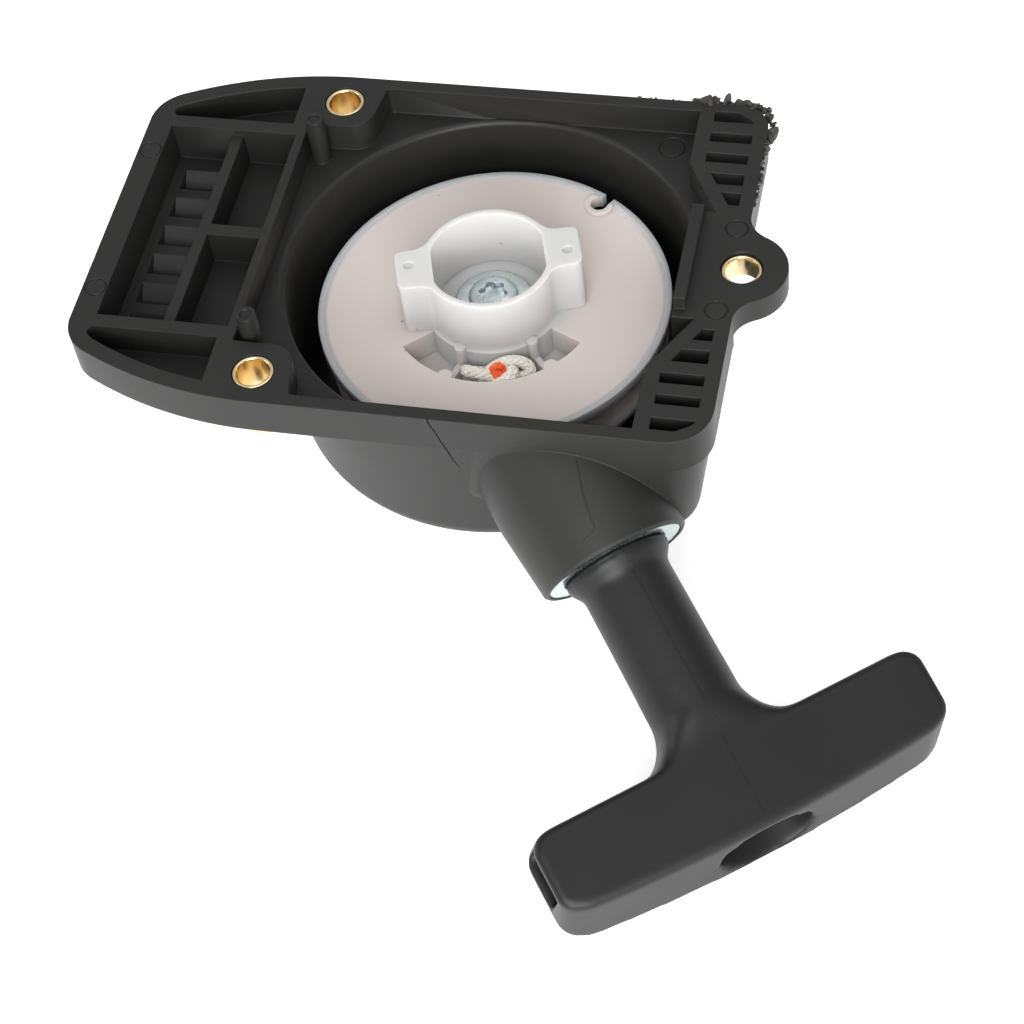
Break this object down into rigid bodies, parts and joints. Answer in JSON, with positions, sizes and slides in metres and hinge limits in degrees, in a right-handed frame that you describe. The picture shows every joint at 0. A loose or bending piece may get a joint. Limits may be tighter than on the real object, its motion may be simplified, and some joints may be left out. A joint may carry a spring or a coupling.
{
  "type": "recoil starter",
  "caption": "Pull-cord recoil starter for a small engine: open housing with intake louvres, rotor with cord, rewind spring and T-handle.",
  "frame": {"origin": "on the rotor axis, in the plane of the mating face", "axes": "+Z along the rotor axis out of the mating face towards the engine; +Y towards the straight rear wall; -X towards the louvred intake box; the cord leaves towards +X -Y -Z"},
  "size_m": [0.1728, 0.1605, 0.061],
  "materials": {
    "housing_black": "fine matt glass-filled nylon",
    "brass": "turned bright",
    "zinc_plate": "bright bluish zinc plate",
    "rotor_nylon": "natural milky nylon, satin",
    "cassette_nylon": "dark grey nylon",
    "spring_steel": "oiled blued spring strip",
    "cord": "braided off-white cord with orange-red tracer",
    "grip_black": "smooth matt moulding"
  },
  "bodies": {
    "housing": {"starter_housing": "housing_black", "bushing_rear_left": "brass", "bushing_front_left": "brass", "bushing_right": "brass", "rope_guide_bush": "zinc_plate", "retaining_washer": "zinc_plate", "retaining_screw": "zinc_plate", "spring_cassette": "cassette_nylon", "spring_cover": "cassette_nylon", "rewind_spring": "spring_steel"},
    "rotor": {"rope_rotor": "rotor_nylon", "rope_on_rotor": "cord", "rotor_knot": "cord"},
    "pulled_cord": {"rope_lead": "cord", "grip_knot": "cord"},
    "grip": {"pull_grip": "grip_black"}
  },
  "joints": [
    {"name": "grip_pull", "type": "slide", "parent": "housing", "child": "pulled_cord", "axis": [0.5835, -0.7206, -0.3746], "range_m": [0, 0.75], "stiffness_N_per_m": 12, "springref_m": -0.45, "deforming": ["rope_lead"]},
    {"name": "rotor_spin", "type": "hinge", "parent": "housing", "child": "rotor", "pos_m": [0, 0, -0.02], "axis": [0, 0, 1], "range_deg": [0, 1510], "deforming": ["rewind_spring"]},
    {"name": "grip_twist", "type": "hinge", "parent": "pulled_cord", "child": "grip", "pos_m": [0.0324, -0.0506, -0.0279], "axis": [0.5835, -0.7206, -0.3746], "range_deg": [-90, 90]}
  ],
  "couplings": [
    {"joint": "rotor_spin", "follows": "grip_pull", "rad_per_m": 34.97}
  ]
}
